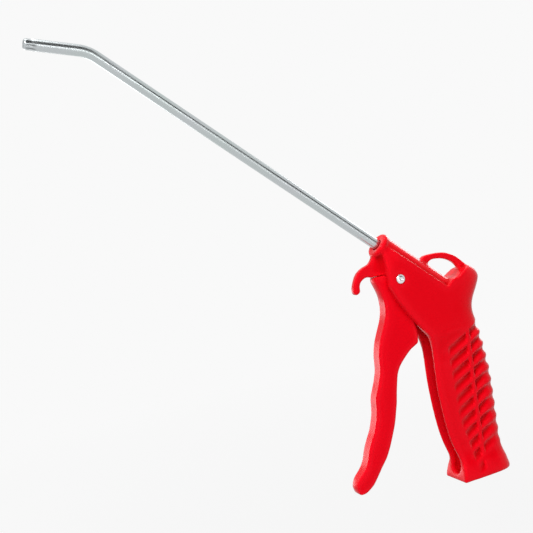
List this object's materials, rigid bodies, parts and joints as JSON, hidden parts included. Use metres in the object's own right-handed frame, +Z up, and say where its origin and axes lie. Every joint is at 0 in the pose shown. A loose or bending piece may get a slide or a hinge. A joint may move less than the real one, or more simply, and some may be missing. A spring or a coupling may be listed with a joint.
{
  "type": "pneumatic air duster",
  "caption": "Hand-held air blow gun with a moulded ribbed grip, a squeeze lever that opens an inline valve, and a long bent steel nozzle tube.",
  "frame": {"origin": "centre of the air inlet's mouth, in the flat face under the grip", "axes": "+Z up the grip from the inlet, -X towards the nozzle's end, +Y square to the plane of symmetry"},
  "size_m": [0.2321, 0.022, 0.2843],
  "materials": {
    "housing": "moulded red plastic, half gloss",
    "lever": "moulded red plastic, half gloss",
    "pivot_rivet": "zinc-plated steel",
    "rivet_washer": "zinc-plated steel",
    "nozzle_tube": "drawn steel tube, zinc-plated",
    "nozzle_ferrule": "turned brass",
    "nozzle_o_ring": "black nitrile rubber",
    "inlet_insert": "turned brass with an inner thread",
    "valve_gland": "turned brass",
    "gland_o_ring": "black nitrile rubber",
    "stem_o_ring": "black nitrile rubber",
    "stem_washer": "plain nylon",
    "valve_cage": "turned brass",
    "valve_seat": "turned brass",
    "seat_o_ring": "black nitrile rubber",
    "valve_stem": "ground steel",
    "poppet": "white acetal",
    "poppet_seal": "black nitrile rubber",
    "valve_spring": "spring steel wire"
  },
  "bodies": {
    "handle": {"housing": "housing", "pivot_rivet": "pivot_rivet", "rivet_washer": "rivet_washer", "nozzle_tube": "nozzle_tube", "nozzle_ferrule": "nozzle_ferrule", "nozzle_o_ring": "nozzle_o_ring", "inlet_insert": "inlet_insert", "valve_gland": "valve_gland", "gland_o_ring": "gland_o_ring", "stem_o_ring": "stem_o_ring", "stem_washer": "stem_washer", "valve_cage": "valve_cage", "valve_seat": "valve_seat", "seat_o_ring": "seat_o_ring", "valve_spring": "valve_spring"},
    "squeeze_lever": {"lever": "lever"},
    "valve_core": {"valve_stem": "valve_stem", "poppet": "poppet", "poppet_seal": "poppet_seal"}
  },
  "joints": [
    {"name": "lever_squeeze", "type": "hinge", "parent": "handle", "child": "squeeze_lever", "pos_m": [-0.0343, 0, 0.1253], "axis": [0, -1, 0], "range_deg": [0, 25]},
    {"name": "valve_slide", "type": "slide", "parent": "handle", "child": "valve_core", "axis": [1, 0, 0], "range_m": [0, 0.00651], "stiffness_N_per_m": 250, "deforming": ["valve_spring"]}
  ],
  "couplings": [
    {"joint": "valve_slide", "follows": "lever_squeeze", "m_per_rad": 0.0149}
  ]
}
